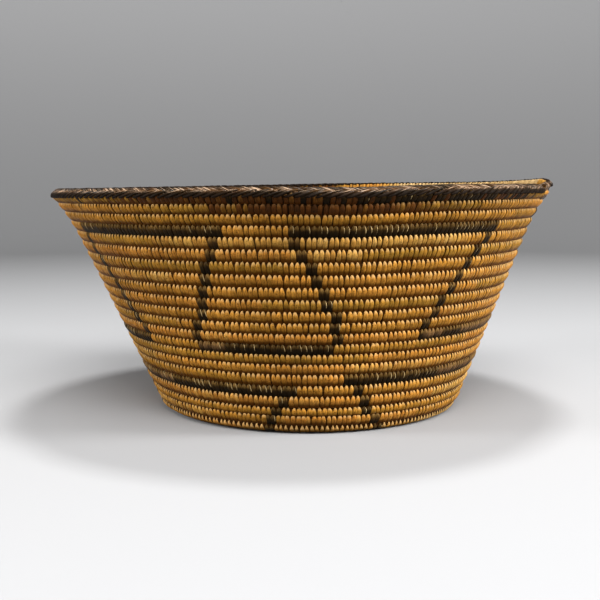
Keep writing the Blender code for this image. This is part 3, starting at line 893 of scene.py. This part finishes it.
def make_end_wraps(material, random):
    """Strands wound round the coil's tip and the row below it, where the braid ends."""
    around = (2 * pi * (np.arange(WRAP_STATIONS) + 0.5) / WRAP_STATIONS)[None, :, None]
    across = np.array(SECTION)[None, None, :]
    half = WRAP_WIDTH / RIM_RADIUS / (2 * pi) / 2
    lower = np.sin(around) < 0
    turn = np.array(WRAP_TURNS)[:, None, None] + across * half + lower
    crown = STRAND_CROWN * crowned(across, WRAP_EDGE)
    height = np.where(np.array(UPPER_SIDE) > 0, WRAP_LIFT + crown, 0.0)
    points = places(turn, around, core_radius(turn, around) + height)
    place = np.stack(np.broadcast_arrays(across, WRAP_HEIGHT, around / (2 * pi), turn)[:3], -1)
    splint = random.uniform(*WRAP_TONES, size=(len(WRAP_TURNS), 1, 1, 3))
    facts = {"splint": splint, "place": place}
    piece = strip_piece("end_wraps", material, points, True, STRAND_COLUMNS, facts)
    dress(piece, "braid_splint")


# Stage, light and camera

def floor_mesh():
    """A disc, a bend and a wall, drawn as rings from a path of radius and height."""
    path = []
    for step in range(BEND_STEPS + 1):
        angle = pi / 2 * step / BEND_STEPS
        radius = FLOOR_RADIUS - FLOOR_BEND + FLOOR_BEND * sin(angle)
        path.append((radius, FLOOR_BEND - FLOOR_BEND * cos(angle)))
    path.append((FLOOR_RADIUS, BACKDROP_TOP))
    points = []
    for radius, z in path:
        for side in range(FLOOR_SIDES):
            angle = 2 * pi * side / FLOOR_SIDES
            points.append((radius * cos(angle), radius * sin(angle), z))
    faces = [list(range(FLOOR_SIDES))]
    for ring in range(len(path) - 1):
        for side in range(FLOOR_SIDES):
            here = ring * FLOOR_SIDES + side
            there = ring * FLOOR_SIDES + (side + 1) % FLOOR_SIDES
            faces.append((here, here + FLOOR_SIDES, there + FLOOR_SIDES, there))
    mesh = bpy.data.meshes.new("studio_floor")
    mesh.from_pydata(points, [], faces)
    mesh.shade_smooth()
    return mesh


def floor_material():
    """Pale, and it throws less light back than it shows."""
    material, tree, shader = new_material("studio_floor", specular=0.0)
    ray = add(tree, "ShaderNodeLightPath").outputs
    seen = calculated(tree, "MAXIMUM", ray["Is Camera Ray"], ray["Is Glossy Ray"])
    seen = calculated(tree, "MAXIMUM", seen, ray["Is Transmission Ray"])
    where = add(tree, "ShaderNodeTexCoord").outputs["Object"]
    height = add(tree, "ShaderNodeSeparateXYZ", {0: where}).outputs[2]
    pale = mixed(tree, ranged(tree, height, (0.0, BACKDROP_HEIGHT)), FLOOR_COLOUR, BACKDROP_COLOUR)
    colour = mixed(tree, seen, BOUNCE_COLOUR, pale)
    tree.links.new(colour, shader.inputs["Base Color"])
    shader.inputs["Roughness"].default_value = 0.9
    return material


def make_floor():
    mesh = floor_mesh()
    mesh.materials.append(floor_material())
    floor = bpy.data.objects.new("studio_floor", mesh)
    bpy.context.scene.collection.objects.link(floor)


def add_lamp(name, place, size, power):
    lamp = bpy.data.lights.new(name, "AREA")
    lamp.shape = "SQUARE"
    lamp.size = size
    lamp.energy = power
    item = bpy.data.objects.new(name, lamp)
    item.location = place
    item.rotation_euler = (Vector(LAMPS_AIM) - Vector(place)).to_track_quat("-Z", "Y").to_euler()
    bpy.context.scene.collection.objects.link(item)


def make_lights():
    for lamp in LAMPS:
        add_lamp(*lamp)
    world = bpy.data.worlds.new("studio")
    world.use_nodes = True
    background = world.node_tree.nodes["Background"]
    background.inputs[0].default_value = (1.0, 1.0, 1.0, 1.0)
    background.inputs[1].default_value = WORLD_STRENGTH
    bpy.context.scene.world = world


def make_camera():
    lens = bpy.data.cameras.new("camera")
    lens.sensor_width = SENSOR
    lens.lens = LENS
    camera = bpy.data.objects.new("camera", lens)
    turned = Matrix.Rotation(CAMERA_HEADING, 4, "Z") @ Matrix.Rotation(pi / 2 - CAMERA_PITCH, 4, "X")
    turned = turned @ Matrix.Rotation(-CAMERA_ROLL, 4, "Z")
    camera.matrix_world = Matrix.Translation(CAMERA_PLACE) @ turned
    bpy.context.scene.collection.objects.link(camera)
    bpy.context.scene.camera = camera


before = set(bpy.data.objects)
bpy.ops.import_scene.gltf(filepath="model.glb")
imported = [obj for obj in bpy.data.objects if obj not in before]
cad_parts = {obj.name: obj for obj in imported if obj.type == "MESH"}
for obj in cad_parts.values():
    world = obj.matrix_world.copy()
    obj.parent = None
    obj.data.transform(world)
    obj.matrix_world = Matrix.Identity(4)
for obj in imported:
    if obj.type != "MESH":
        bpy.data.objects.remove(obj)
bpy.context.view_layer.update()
bpy.context.scene.view_settings.view_transform = "Standard"
make_floor()
make_lights()
make_camera()
make_foundation()
make_stitches(np.random.default_rng(SEED))
polished = braid_material()
make_braid(polished, np.random.default_rng(SEED + 1))
make_end_wraps(polished, np.random.default_rng(SEED + 2))
